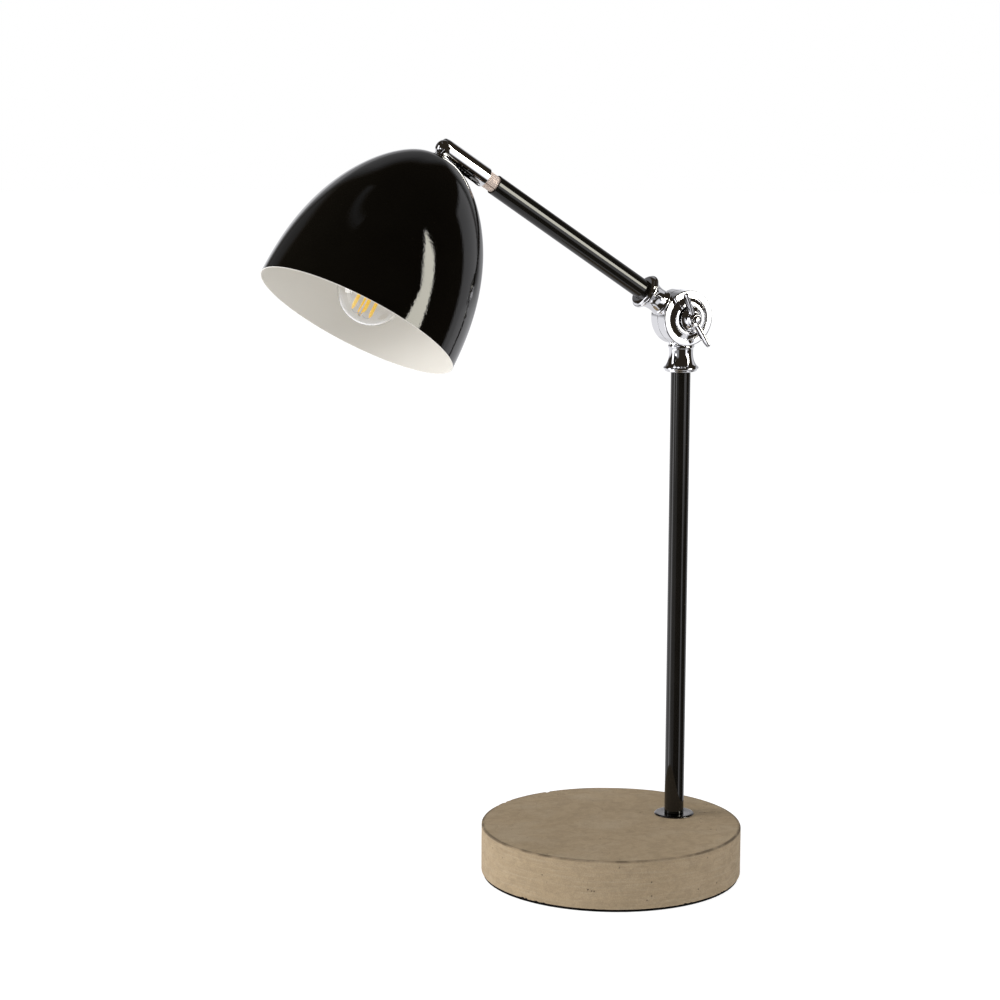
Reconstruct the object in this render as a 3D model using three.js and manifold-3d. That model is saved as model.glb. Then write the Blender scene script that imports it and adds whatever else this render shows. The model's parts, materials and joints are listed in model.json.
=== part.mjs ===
// An adjustable desk lamp: a weighted concrete disc, a steel pole, a wing-nut elbow, an arm,
// and a spun dome shade that hangs from a slotted ball swivel. Millimetres, +Z up.
// The origin is the centre of the underside. The arm reaches over the base towards -X, and the
// elbow turns about Y with its wing nut on the -Y side.
import * as THREE from "three";
import { mergeVertices } from "three/addons/utils/BufferGeometryUtils.js";
import Module from "manifold-3d";

const wasm = await Module();
wasm.setup();

// ---- Driving dimensions -------------------------------------------------------------------
const BASE_R = 90;
const FELT_THICK = 1.8;
const BASE_TOP = 35.5;
const POLE_X = 51.2; // the pole stands this far behind the base's centre
const TUBE_R = 6.75;
const TUBE_BORE_R = 5.85;
const ELBOW_Z = 386; // height of the elbow's pivot
const ARM_ANGLE = 33; // degrees above the horizontal
const ARM_LENGTH = 216.5; // pivot to swivel ball
const HEAD_SWIVEL = 6; // degrees that the head is turned about the arm
const SHADE_RIM_R = 68.3;
const SHADE_DEPTH = 119;
const SHADE_WALL = 0.8;

const deg = THREE.MathUtils.degToRad;

// ---- Materials ----------------------------------------------------------------------------
const material = (color, roughness, metalness, opacity = 1) =>
  new THREE.MeshStandardMaterial({
    color, roughness, metalness, opacity, transparent: opacity < 1,
  });
const BLACK_ENAMEL = material(0x0b0b0b, 0.12, 0.1);
const CONCRETE = material(0x9b8b74, 0.9, 0);
const FELT = material(0x0c0c0d, 1, 0);
const CHROME = material(0xdfe1e4, 0.06, 1);
const DARK_NICKEL = material(0x54565c, 0.2, 1);
const BRUSHED_NICKEL = material(0xc9bfb4, 0.35, 1);
const STEEL = material(0x9a9ca0, 0.4, 1);
const BRASS = material(0xc79a4a, 0.3, 1);
const RUBBER = material(0x151515, 0.8, 0);
const FIBRE = material(0x5b2a1c, 0.8, 0);
const WHITE_PLASTIC = material(0xe8e6e0, 0.45, 0);
const GLASS = material(0xffffff, 0.03, 0, 0.3);
const PHOSPHOR = material(0xf2b21b, 0.6, 0);

// ---- Geometry helpers ---------------------------------------------------------------------
const WIDE = 40; // facets round the largest turned pieces
const SEGMENTS = 28; // round the tubes and castings
const SMALL = 20; // round the small hardware

// A turned solid about Z. The profile is a list of [radius, height]; it either starts and ends
// on the axis or is closed here, and it is reversed if it would come out inside out.
function turned(profile, segments = SEGMENTS) {
  const points = profile.map(([r, h]) => new THREE.Vector2(r, h));
  const onAxis = points[0].x === 0 && points.at(-1).x === 0;
  if (!onAxis) points.push(points[0].clone());
  if (THREE.ShapeUtils.area(points) < 0) points.reverse();
  return new THREE.LatheGeometry(points, segments).rotateX(Math.PI / 2);
}

// A plain tube or ring about Z between two heights.
const ring = (inner, outer, low, high, segments) =>
  turned([[inner, low], [outer, low], [outer, high], [inner, high]], segments);

const rod = (radius, low, high, segments) =>
  turned([[0, low], [radius, low], [radius, high], [0, high]], segments);

// An outline in XY pushed up along Z from `low` to `high`, with an optional round hole.
function plate(outline, low, high, holeR = 0) {
  const shape = new THREE.Shape(outline.map(([x, y]) => new THREE.Vector2(x, y)));
  if (holeR) shape.holes.push(new THREE.Path().absarc(0, 0, holeR, 0, 2 * Math.PI, true));
  const options = { depth: high - low, bevelEnabled: false, curveSegments: 16 };
  return new THREE.ExtrudeGeometry(shape, options).translate(0, 0, low);
}

const polygon = (count, radiusAt) =>
  Array.from({ length: count }, (_, i) => {
    const angle = (2 * Math.PI * i) / count;
    return [radiusAt(i) * Math.cos(angle), radiusAt(i) * Math.sin(angle)];
  });

const hexNut = (acrossFlats, holeR, low, high) =>
  plate(polygon(6, () => acrossFlats / Math.sqrt(3)), low, high, holeR);

// An external-tooth lock washer.
const toothWasher = (rootR, tipR, holeR, low, high) =>
  plate(polygon(24, (i) => (i % 2 ? rootR : tipR)), low, high, holeR);

function toSolid(geometry) {
  const bare = geometry.clone().deleteAttribute("normal").deleteAttribute("uv");
  const merged = mergeVertices(bare, 1e-4);
  return new wasm.Manifold(new wasm.Mesh({
    numProp: 3,
    vertProperties: merged.attributes.position.array,
    triVerts: new Uint32Array(merged.index.array),
  }));
}

function toGeometry(solid) {
  const mesh = solid.getMesh();
  const geometry = new THREE.BufferGeometry();
  geometry.setAttribute("position", new THREE.BufferAttribute(mesh.vertProperties, 3));
  geometry.setIndex(new THREE.BufferAttribute(mesh.triVerts, 1));
  geometry.computeVertexNormals();
  return geometry;
}

// The geometries of `joined` as one solid, less those of `cuts`.
function carved(joined, cuts = []) {
  const whole = joined.map(toSolid).reduce((a, b) => a.add(b));
  return toGeometry(cuts.map(toSolid).reduce((a, b) => a.subtract(b), whole));
}

// Turns a geometry made about Z so that its axis lies along +Y, -Y or +X.
const alongY = (geometry) => geometry.rotateX(-Math.PI / 2);
const alongMinusY = (geometry) => geometry.rotateX(Math.PI / 2);
const alongX = (geometry) => geometry.rotateY(Math.PI / 2);

function add(group, name, geometry, surface) {
  const mesh = new THREE.Mesh(geometry, surface);
  mesh.name = name;
  group.add(mesh);
}

// ---- Base and pole ------------------------------------------------------------------------
const RECESS_R = 18; // the pocket under the pole that hides the nut
const RECESS_TOP = 19.5;
const CLEARANCE_HOLE_R = 5.2; // for the M10 threaded tube
const TUNNEL_Z = 10; // the cable leaves the pocket at this height
const TUNNEL_R = 4.6;
const CONCRETE_SEGMENTS = 64;

function concreteBase() {
  const disc = turned([
    [0, FELT_THICK], [BASE_R - 1, FELT_THICK], [BASE_R, FELT_THICK + 1],
    [BASE_R, BASE_TOP - 0.8], [BASE_R - 0.8, BASE_TOP], [0, BASE_TOP],
  ], CONCRETE_SEGMENTS);
  const hole = rod(CLEARANCE_HOLE_R, 0, BASE_TOP + 1).translate(POLE_X, 0, 0);
  const pocket = rod(RECESS_R, 0, RECESS_TOP).translate(POLE_X, 0, 0);
  const tunnel = alongX(rod(TUNNEL_R, POLE_X + 10, BASE_R + 2, SMALL)).translate(0, 0, TUNNEL_Z);
  return carved([disc], [hole, pocket, tunnel]);
}

function cableGrommet() {
  const boreR = 3.3;
  const seat = BASE_R + 0.2;
  const profile = [
    [boreR, seat - 13], [4.3, seat - 13], [4.3, seat], [6.6, seat],
    [6.6, seat + 0.9], [6, seat + 1.5], [boreR, seat + 1.5],
  ];
  return alongX(turned(profile, SMALL)).translate(0, 0, TUNNEL_Z);
}

const stand = new THREE.Group();
add(stand, "felt_pad", rod(BASE_R - 1, 0, FELT_THICK, CONCRETE_SEGMENTS), FELT);
add(stand, "concrete_base", concreteBase(), CONCRETE);
add(stand, "cable_grommet", cableGrommet(), RUBBER);

const FOOT_PLATE_TOP = BASE_TOP + 1.2;
const pole = new THREE.Group();
pole.position.x = POLE_X;
stand.add(pole);
const footPlate = [
  [CLEARANCE_HOLE_R, BASE_TOP], [14, BASE_TOP], [14, BASE_TOP + 0.5],
  [13.2, FOOT_PLATE_TOP], [CLEARANCE_HOLE_R, FOOT_PLATE_TOP],
];
add(pole, "foot_plate", turned(footPlate), DARK_NICKEL);
add(pole, "foot_threaded_tube", ring(3.5, 4.9, 7, 58, SMALL), STEEL);
add(pole, "foot_washer", ring(CLEARANCE_HOLE_R, 14, RECESS_TOP - 1.5, RECESS_TOP), STEEL);
add(pole, "foot_lock_washer",
  toothWasher(8, 9.4, CLEARANCE_HOLE_R, RECESS_TOP - 2.5, RECESS_TOP - 1.5), STEEL);
add(pole, "foot_nut", hexNut(17, 5.05, RECESS_TOP - 6.5, RECESS_TOP - 2.5), STEEL);

// ---- Elbow --------------------------------------------------------------------------------
// Two castings of the same shape meet face to face on the plane Y = 0. Each is half a round
// drum with a trumpet-shaped neck, and takes the end of a tube.
const DRUM_R = 19;
const DRUM_HALF = 10.1; // half the drum's width
const BOSS_HEIGHT = 0.9; // the drum's flat face rises by this much over a sloping ring
const BOSS_R = 11.3;
const BOSS_FOOT_R = 14.9;
const SPLIT_GAP = 0.15; // each face stands this far off the middle plane
const NECK_END = 37.3; // pivot to the neck's end
const SOCKET_DEPTH = 9;
const TUBE_START = NECK_END - SOCKET_DEPTH + 0.3;
const BOLT_R = 3;
const BOLT_HOLE_R = 3.2;

const NECK_PROFILE = [
  [0, 12.4], [8.7, 12.4], [8.7, 19], [9.1, 19.6], [8.4, 21.2], [8.2, 25], [8.9, 29], [10.3, 32],
  [12.2, 34.3], [12.2, 35.1], [11.2, 35.5], [11.1, 36.9], [10.6, NECK_END], [0, NECK_END],
];

// The neck runs along +Z, and the half drum lies on the side of the middle plane that `side`
// says: +1 for +Y, -1 for -Y.
function knuckle(side) {
  const outward = side > 0 ? alongY : alongMinusY;
  const rim = DRUM_HALF - BOSS_HEIGHT;
  const drum = outward(turned([
    [0, SPLIT_GAP], [DRUM_R, SPLIT_GAP], [DRUM_R, rim - 0.6], [DRUM_R - 0.6, rim],
    [BOSS_FOOT_R, rim], [BOSS_R, DRUM_HALF], [0, DRUM_HALF],
  ], WIDE));
  const inward = side > 0 ? alongMinusY : alongY;
  const otherDrum = inward(rod(DRUM_R + 0.4, -SPLIT_GAP, DRUM_HALF + 4, WIDE));
  const neck = toGeometry(toSolid(turned(NECK_PROFILE)).subtract(toSolid(otherDrum)));
  const boltHole = outward(rod(BOLT_HOLE_R, -DRUM_HALF, DRUM_HALF + 1, SMALL));
  const discSeat = outward(rod(8.2, -1, 0.6));
  const wireway = rod(4.5, 10.5, NECK_END + 1, SMALL);
  const socket = rod(TUBE_R + 0.15, NECK_END - SOCKET_DEPTH, NECK_END + 1);
  return carved([drum, neck], [boltHole, discSeat, wireway, socket]);
}

const elbow = new THREE.Group();
elbow.position.set(POLE_X, 0, ELBOW_Z);
stand.add(elbow);

const poleKnuckle = new THREE.Group();
poleKnuckle.rotation.y = Math.PI;
elbow.add(poleKnuckle);
add(poleKnuckle, "pole_knuckle", knuckle(1), CHROME);
add(pole, "pole_tube", ring(TUBE_BORE_R, TUBE_R, FOOT_PLATE_TOP, ELBOW_Z - TUBE_START),
  BLACK_ENAMEL);

// The clamp stack on the bolt, from the drum's front face outwards.
const WASHER_THICK = 1.3;
const SPRING_THICK = 1.1;
const NUT_START = DRUM_HALF + WASHER_THICK + SPRING_THICK;
const HUB_HEIGHT = 7.7;
const BOLT_END = NUT_START + HUB_HEIGHT + 0.8;
const WING_THICK = 3;
const WING_ANGLE = 117; // degrees of the wings from +X towards +Z

function pivotBolt() {
  const back = -DRUM_HALF; // the domed head is behind the drum
  return alongMinusY(turned([
    [0, back - 4], [2.8, back - 3.8], [5.6, back - 2.8], [7.4, back - 1.3], [7.9, back],
    [BOLT_R, back], [BOLT_R, BOLT_END - 0.6], [BOLT_R - 0.6, BOLT_END], [0, BOLT_END],
  ], SMALL));
}

// A split spring washer: a ring with a slanted cut.
function springWasher() {
  const body = ring(BOLT_HOLE_R, 5.6, NUT_START - SPRING_THICK, NUT_START, SMALL);
  const cut = new THREE.BoxGeometry(4, 0.8, 4).rotateX(deg(30));
  return alongMinusY(carved([body], [cut.translate(4.6, 0, NUT_START - SPRING_THICK / 2)]));
}

function wingNut() {
  const hub = turned([
    [BOLT_HOLE_R - 0.1, 0], [8.4, 0], [8.4, 1.1], [5.8, 3.2], [4.8, 6.8], [4.2, HUB_HEIGHT],
    [BOLT_HOLE_R - 0.1, HUB_HEIGHT],
  ], SMALL);
  const wing = new THREE.Shape();
  wing.moveTo(4, 0.7);
  wing.quadraticCurveTo(12.4, 1, 18.7, 4);
  wing.quadraticCurveTo(21.3, 5.9, 20.9, 8.3);
  wing.quadraticCurveTo(20.5, 9.9, 18.7, 9.8);
  wing.quadraticCurveTo(10.1, 8.6, 4, 6.4);
  wing.closePath();
  const options = { depth: WING_THICK, bevelEnabled: false, curveSegments: 5 };
  const blade = new THREE.ExtrudeGeometry(wing, options).translate(0, 0, -WING_THICK / 2);
  blade.rotateX(Math.PI / 2);
  const blades = [blade, blade.clone().rotateZ(Math.PI)];
  const nut = carved([hub, ...blades], [rod(BOLT_HOLE_R - 0.1, -1, 12, SMALL)]);
  return alongMinusY(nut.translate(0, 0, NUT_START)).rotateY(deg(-WING_ANGLE));
}

const frictionDisc = alongY(ring(BOLT_HOLE_R, 7.9, -0.5, 0.5, SMALL));
const thrustWasher = alongMinusY(turned([
  [BOLT_HOLE_R, DRUM_HALF], [11.1, DRUM_HALF], [11.1, DRUM_HALF + 0.7],
  [10.4, NUT_START - SPRING_THICK], [BOLT_HOLE_R, NUT_START - SPRING_THICK],
]));
add(elbow, "friction_disc", frictionDisc, FIBRE);
add(elbow, "pivot_bolt", pivotBolt(), CHROME);
add(elbow, "thrust_washer", thrustWasher, CHROME);
add(elbow, "spring_washer", springWasher(), STEEL);
add(elbow, "wing_nut", wingNut(), CHROME);

// ---- Arm and swivel -----------------------------------------------------------------------
// In the arm's frame Z runs from the elbow's pivot out to the swivel ball.
const TUBE_END = 172.8;
const COLLAR_END = 191;
const SLEEVE_START = 181.4;
const SLEEVE_R = 7;
const SLEEVE_BORE_R = 6.3;
const SLOT_HALF = 3.7;
const SLIT_WIDTH = 1.3;
const SLIT_ANGLE = 52; // degrees of the slit from the slot's middle
const BALL_R = 6.1;
const STEM_R = 3.4;

const arm = new THREE.Group();
arm.rotation.y = deg(ARM_ANGLE - 90);
elbow.add(arm);
add(arm, "arm_knuckle", knuckle(-1), CHROME);
add(arm, "arm_tube", ring(TUBE_BORE_R, TUBE_R, TUBE_START, TUBE_END), BLACK_ENAMEL);
const swivelCollar = turned([
  [3.6, TUBE_END - 12], [5.4, TUBE_END - 12], [5.4, TUBE_END + 0.2], [5.75, TUBE_END + 0.2],
  [5.75, COLLAR_END], [3.6, COLLAR_END],
]);
add(arm, "swivel_collar", swivelCollar, BRUSHED_NICKEL);

const head = new THREE.Group(); // at the ball's centre, with Z still along the arm
head.position.z = ARM_LENGTH;
head.rotation.z = deg(HEAD_SWIVEL);
arm.add(head);

// The sleeve's lip closes over the ball. Its slot lets the ball's stem swing from square to
// the arm to straight out of the mouth, and a narrow slit beside the slot lets it clamp.
function swivelSleeve() {
  const start = SLEEVE_START - ARM_LENGTH;
  const sleeve = turned([
    [SLEEVE_BORE_R, start], [SLEEVE_R - 0.3, start], [SLEEVE_R, start + 0.4], [SLEEVE_R, -0.6],
    [6.8, 1.1], [6.4, 2.6], [5.7, 2.6], [6.05, 1.4], [SLEEVE_BORE_R, 0],
  ]);
  const slotEnd = start + 1 + SLOT_HALF;
  const width = 2 * SLOT_HALF;
  const slot = new THREE.BoxGeometry(8, width, 40).translate(-4, 0, slotEnd + 20);
  const roundEnd = rod(SLOT_HALF, 0, 8, SMALL).rotateY(-Math.PI / 2).translate(0, 0, slotEnd);
  const slitLength = ARM_LENGTH - SLEEVE_START - 6;
  const slit = new THREE.BoxGeometry(4, SLIT_WIDTH, slitLength);
  slit.translate(-SLEEVE_R, 0, start + 2 + slitLength / 2).rotateZ(deg(SLIT_ANGLE));
  return carved([sleeve], [slot, roundEnd, slit]);
}

const SPRING_START = COLLAR_END + 1 - ARM_LENGTH;
const SPRING_TURNS = 5;
const SPRING_PITCH = 2.6;
const SPRING_R = 4.6;

class Helix extends THREE.Curve {
  getPoint(t) {
    const angle = 2 * Math.PI * SPRING_TURNS * t;
    const height = SPRING_START + SPRING_TURNS * SPRING_PITCH * t;
    return new THREE.Vector3(SPRING_R * Math.cos(angle), SPRING_R * Math.sin(angle), height);
  }
}

function ballSpring() {
  const wire = new THREE.Shape(polygon(5, () => 0.55).map(([x, y]) => new THREE.Vector2(x, y)));
  const options = { steps: SPRING_TURNS * 10, extrudePath: new Helix() };
  return new THREE.ExtrudeGeometry(wire, options);
}

const ballSeat = turned([
  [2.2, -10.8], [6, -10.8], [6, -4.6], [5.1, -4.6], [2.2, -6.6],
], SMALL);
add(head, "swivel_sleeve", swivelSleeve(), CHROME);
add(head, "ball_spring", ballSpring(), STEEL);
add(head, "ball_seat", ballSeat, BRASS);

// ---- Ball, shade and lampholder -----------------------------------------------------------
// In the shade's frame Z runs from the ball's centre down the shade's axis to its mouth.
const SHADE_TOP = 9.2;
const SHADE_RIM = SHADE_TOP + SHADE_DEPTH;
const SHADE_FLAT_R = 13;
const SHADE_STEPS = 10;
const STEM_END = 22;

const shade = new THREE.Group();
shade.rotation.y = -Math.PI / 2;
head.add(shade);

function swivelBall() {
  const boreR = 2;
  const first = Math.asin(boreR / BALL_R);
  const last = Math.PI - Math.asin(STEM_R / BALL_R);
  const profile = Array.from({ length: 9 }, (_, i) => {
    const angle = first + ((last - first) * i) / 8;
    return [BALL_R * Math.sin(angle), -BALL_R * Math.cos(angle)];
  });
  profile.push([STEM_R, STEM_END], [boreR, STEM_END]);
  return turned(profile, 24);
}

// The dome's outside: a flat crown, then a curve that stays full until it drops to the rim.
// `share` is 0 at the rim and 1 at the crown.
function shadePoint(share, inset) {
  const curve = (1 - share ** 2.29) ** (1 / 1.39);
  const radius = SHADE_FLAT_R + (SHADE_RIM_R - SHADE_FLAT_R) * curve;
  return [radius - inset, SHADE_RIM - (SHADE_DEPTH - inset) * share];
}

function shadeShell() {
  const shares = Array.from({ length: SHADE_STEPS + 1 }, (_, i) =>
    Math.sin((Math.PI / 2) * (i / SHADE_STEPS)));
  const outside = shares.map((share) => shadePoint(share, 0));
  const inside = shares.map((share) => shadePoint(share, SHADE_WALL)).reverse();
  const holeR = STEM_R + 0.15;
  const crown = [[holeR, SHADE_TOP], [holeR, SHADE_TOP + SHADE_WALL]];
  return turned([...outside, ...crown, ...inside], WIDE);
}

add(shade, "swivel_ball", swivelBall(), CHROME);
add(shade, "stem_flange", ring(STEM_R + 0.15, 9.5, 7.8, SHADE_TOP - 0.2, SMALL), CHROME);
add(shade, "shade_shell", shadeShell(), BLACK_ENAMEL);
add(shade, "shade_lock_washer", toothWasher(7, 8.2, STEM_R + 0.15, 10.3, 11.1), STEEL);
add(shade, "shade_nut", hexNut(13, STEM_R + 0.1, 11.3, 14.9), STEEL);

const HOLDER_R = 13.5;
const HOLDER_SPLIT = 40;
const HOLDER_END = 72;

const holderCap = turned([
  [STEM_R + 0.15, 15.3], [8.5, 15.3], [11.5, 17.3], [HOLDER_R, 21],
  [HOLDER_R, HOLDER_SPLIT], [11.8, HOLDER_SPLIT], [11.8, 21.5], [10, 18.7], [STEM_R + 0.15, 18.7],
]);
const holderBarrel = turned([
  [9, 45.5], [3, 45.5], [3, 43.6], [9, 43.6], [11.5, HOLDER_SPLIT + 0.3],
  [HOLDER_R, HOLDER_SPLIT + 0.3], [HOLDER_R, HOLDER_END - 1], [HOLDER_R - 1, HOLDER_END],
  [9, HOLDER_END],
]);
const shellThread = turned([
  [7.5, 51.6], [8.5, 51.6], [8.5, 69], [8.9, 69.6], [8.9, 70.4], [7.9, 70.4], [7.5, 69],
], SMALL);

// An arched leaf that presses on the bulb's end contact.
function contactLeaf() {
  const floor = 45.8;
  const arch = new THREE.Shape();
  arch.moveTo(-6.6, floor);
  arch.quadraticCurveTo(0, floor + 7, 6.6, floor);
  arch.lineTo(6, floor);
  arch.quadraticCurveTo(0, floor + 5.8, -6, floor);
  arch.closePath();
  const leaf = new THREE.ExtrudeGeometry(arch, { depth: 5, bevelEnabled: false, curveSegments: 8 });
  return leaf.translate(0, 0, -2.5).rotateX(Math.PI / 2);
}

add(shade, "holder_cap", holderCap, WHITE_PLASTIC);
add(shade, "holder_barrel", holderBarrel, WHITE_PLASTIC);
add(shade, "holder_screw_shell", shellThread, BRASS);
add(shade, "holder_contact", contactLeaf(), BRASS);

// ---- Bulb ---------------------------------------------------------------------------------
const GLOBE_R = 22.5;
const GLOBE_Z = 105.5;
const GLASS_WALL = 0.8;
const FILAMENT_R = 1.1;
const FILAMENT_RING_R = 6.3;
const FILAMENT_START = 92;
const FILAMENT_END = 122;
const FILAMENTS = 4;
const FILAMENT_TURN = 14; // degrees of the first filament about the bulb's axis

// One wall of the globe from its neck to its pole, `inset` inside the outer surface.
function globeWall(inset) {
  const neck = [[7.6, 73], [7.7, 77], [9.2, 81.5], [12.4, 86]];
  const radius = GLOBE_R - inset;
  const first = deg(136); // where the globe leaves the neck, measured from its pole
  const arc = Array.from({ length: 10 }, (_, i) => {
    const angle = first * (1 - i / 9);
    return [radius * Math.sin(angle), GLOBE_Z + radius * Math.cos(angle)];
  });
  arc.at(-1)[0] = 0;
  return [...neck.map(([r, h]) => [r - inset, h]), ...arc];
}

const bulbGlass = () =>
  turned([...globeWall(GLASS_WALL).reverse(), ...globeWall(0)]);

const bulbCap = turned([
  [6.3, 54.6], [6.9, 54.6], [6.9, 71], [8.3, 72.6], [8.3, 76], [7.9, 76], [7.9, 72.7],
  [6.3, 71.4],
], SMALL);
const bulbInsulator = turned([[0, 51.8], [3.2, 51.8], [6.5, 54.3], [0, 54.3]], SMALL);
const bulbContact = turned([[0, 49.9], [1.6, 50.1], [2.4, 50.8], [2.4, 51.6], [0, 51.6]], 12);
const bulbStem = turned([
  [0, 73], [5.5, 73], [3.6, 77], [2, 83], [1.4, 88], [0.9, 91], [0.9, 124], [0, 124.6],
], 12);
const torus = (z) => new THREE.TorusGeometry(FILAMENT_RING_R, 0.4, 5, SMALL).translate(0, 0, z);

add(shade, "bulb_glass", bulbGlass(), GLASS);
add(shade, "bulb_cap", bulbCap, BRUSHED_NICKEL);
add(shade, "bulb_insulator", bulbInsulator, RUBBER);
add(shade, "bulb_contact", bulbContact, STEEL);
add(shade, "bulb_stem", bulbStem, GLASS);
add(shade, "filament_ring_low", torus(FILAMENT_START - 0.8), STEEL);
add(shade, "filament_ring_high", torus(FILAMENT_END + 0.8), STEEL);
for (let i = 0; i < FILAMENTS; i += 1) {
  const angle = deg(FILAMENT_TURN) + (2 * Math.PI * i) / FILAMENTS;
  const x = FILAMENT_RING_R * Math.cos(angle);
  const y = FILAMENT_RING_R * Math.sin(angle);
  const stick = rod(FILAMENT_R, FILAMENT_START, FILAMENT_END, 8).translate(x, y, 0);
  add(shade, `filament_${i + 1}`, stick, PHOSPHOR);
}

const lamp = new THREE.Group();
lamp.add(stand);

export default lamp;
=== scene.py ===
import json
import math

import bmesh
import bpy
from mathutils import Matrix, Vector, noise


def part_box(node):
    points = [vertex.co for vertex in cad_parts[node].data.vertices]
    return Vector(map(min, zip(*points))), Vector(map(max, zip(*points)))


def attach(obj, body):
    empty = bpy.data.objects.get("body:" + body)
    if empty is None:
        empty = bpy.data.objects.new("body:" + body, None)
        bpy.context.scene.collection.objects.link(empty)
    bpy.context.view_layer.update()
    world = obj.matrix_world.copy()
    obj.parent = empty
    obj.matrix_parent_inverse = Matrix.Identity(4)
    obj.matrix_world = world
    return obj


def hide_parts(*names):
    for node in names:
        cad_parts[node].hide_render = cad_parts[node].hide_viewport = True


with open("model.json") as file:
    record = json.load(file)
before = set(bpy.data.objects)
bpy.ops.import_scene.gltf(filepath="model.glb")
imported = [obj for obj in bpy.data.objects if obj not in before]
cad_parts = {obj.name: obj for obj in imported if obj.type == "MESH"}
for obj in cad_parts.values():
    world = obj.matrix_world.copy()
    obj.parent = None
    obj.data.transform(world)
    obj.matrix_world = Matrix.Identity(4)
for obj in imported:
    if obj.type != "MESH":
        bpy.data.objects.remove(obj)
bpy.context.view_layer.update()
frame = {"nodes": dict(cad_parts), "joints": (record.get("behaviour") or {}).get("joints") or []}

# ---- Camera: the photograph's angle ----
AZIMUTH = -28.09  # degrees round the lamp, 0 looks along +Y
PITCH = 10.07  # degrees downwards
ROLL = 0.25
LENS = 102.762  # mm, on a 36 mm sensor
DISTANCE = 1.9845  # metres, as AIM is
AIM = Vector((-0.05045, 0.07133, 0.25613))


def photo_camera():
    azimuth, pitch, roll = (math.radians(angle) for angle in (AZIMUTH, PITCH, ROLL))
    flat = math.cos(pitch)
    forward = Vector((-math.sin(azimuth) * flat, math.cos(azimuth) * flat, -math.sin(pitch)))
    level = Vector((math.cos(azimuth), math.sin(azimuth), 0))
    upright = level.cross(forward)
    right = level * math.cos(roll) + upright * math.sin(roll)
    up = upright * math.cos(roll) - level * math.sin(roll)
    data = bpy.data.cameras.new("photo_camera")
    data.lens = LENS
    camera = bpy.data.objects.new("photo_camera", data)
    bpy.context.scene.collection.objects.link(camera)
    camera.matrix_world = placed(AIM - forward * DISTANCE, right, up, -forward)
    bpy.context.scene.camera = camera


def placed(origin, x, y, z):
    """The matrix of axes x, y and z at an origin."""
    matrix = Matrix((x, y, z)).transposed().to_4x4()
    matrix.translation = origin
    return matrix


# ---- Places: each group of pieces has its own axes, read from the joints ----
MM = 0.001
JOINTS = {joint["name"]: joint for joint in frame["joints"]}
ELBOW = Vector(JOINTS["arm_tilt"]["pos_m"])
BALL = Vector(JOINTS["head_swivel"]["pos_m"])


def along(origin, z, y):
    """Axes with Z along z and Y along y."""
    z, y = Vector(z).normalized(), Vector(y).normalized()
    return placed(origin, y.cross(z), y, z)


STAND = Matrix.Identity(4)
POLE = Matrix.Translation((ELBOW.x, ELBOW.y, 0))
POLE_NECK = along(ELBOW, (0, 0, -1), (0, 1, 0))
ARM = along(ELBOW, JOINTS["head_swivel"]["axis"], (0, 1, 0))
NUT = along(ELBOW, (0, -1, 0), (1, 0, 0))  # Z runs out along the bolt, towards the wing nut
HEAD = along(BALL, JOINTS["head_swivel"]["axis"], JOINTS["shade_tilt"]["axis"])
SHADE = along(BALL, JOINTS["shade_spin"]["axis"], JOINTS["shade_tilt"]["axis"])


def extent(node, place):
    """Lowest and highest point along Z, and the largest radius, of a CAD node in mm."""
    local = place.inverted()
    points = [local @ vertex.co / MM for vertex in frame["nodes"][node].data.vertices]
    heights = [p.z for p in points]
    return min(heights), max(heights), max(math.hypot(p.x, p.y) for p in points)


# ---- Mesh helpers: shapes are made in mm and then placed ----
def rounded(corners, steps=6):
    """A closed outline of (r, z, radius) corners, each corner softened over that radius."""
    points = []
    for i, corner in enumerate(corners):
        here = Vector(corner[:2])
        radius = corner[2] if len(corner) > 2 else 0
        if not radius:
            points.append(here)
            continue
        before = Vector(corners[i - 1][:2]) - here
        after = Vector(corners[(i + 1) % len(corners)][:2]) - here
        start = here + before.normalized() * min(radius, before.length * 0.48)
        end = here + after.normalized() * min(radius, after.length * 0.48)
        for k in range(steps + 1):
            t = k / steps
            points.append(start * (1 - t) ** 2 + here * 2 * t * (1 - t) + end * t * t)
    return points


def subdivided(points, step):
    """The same closed outline with no stretch longer than step."""
    fine = []
    for i, start in enumerate(points):
        end = points[(i + 1) % len(points)]
        count = max(1, math.ceil((end - start).length / step))
        fine += [start.lerp(end, k / count) for k in range(count)]
    return fine


def new_object(name, vertices, faces):
    mesh = bpy.data.meshes.new(name)
    mesh.from_pydata(vertices, [], faces)
    obj = bpy.data.objects.new(name, mesh)
    bpy.context.scene.collection.objects.link(obj)
    clean(obj)
    return obj


def clean(obj):
    """Merges coincident vertices and points every face outwards."""
    mesh = bmesh.new()
    mesh.from_mesh(obj.data)
    bmesh.ops.remove_doubles(mesh, verts=mesh.verts, dist=1e-4)
    bmesh.ops.dissolve_degenerate(mesh, edges=mesh.edges, dist=1e-5)
    bmesh.ops.recalc_face_normals(mesh, faces=mesh.faces)
    mesh.to_mesh(obj.data)
    mesh.free()


def turned(name, outline, segments=128):
    """A solid of revolution about Z from a closed outline of (r, z) points in mm."""
    vertices = []
    for i in range(segments):
        turn = 2 * math.pi * i / segments
        vertices += [(p[0] * math.cos(turn), p[0] * math.sin(turn), p[1]) for p in outline]
    size = len(outline)
    faces = []
    for i in range(segments):
        here, there = i * size, (i + 1) % segments * size
        for k in range(size):
            after = (k + 1) % size
            if outline[k][0] > 1e-6 or outline[after][0] > 1e-6:
                faces.append((here + k, there + k, there + after, here + after))
    return new_object(name, vertices, faces)


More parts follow.
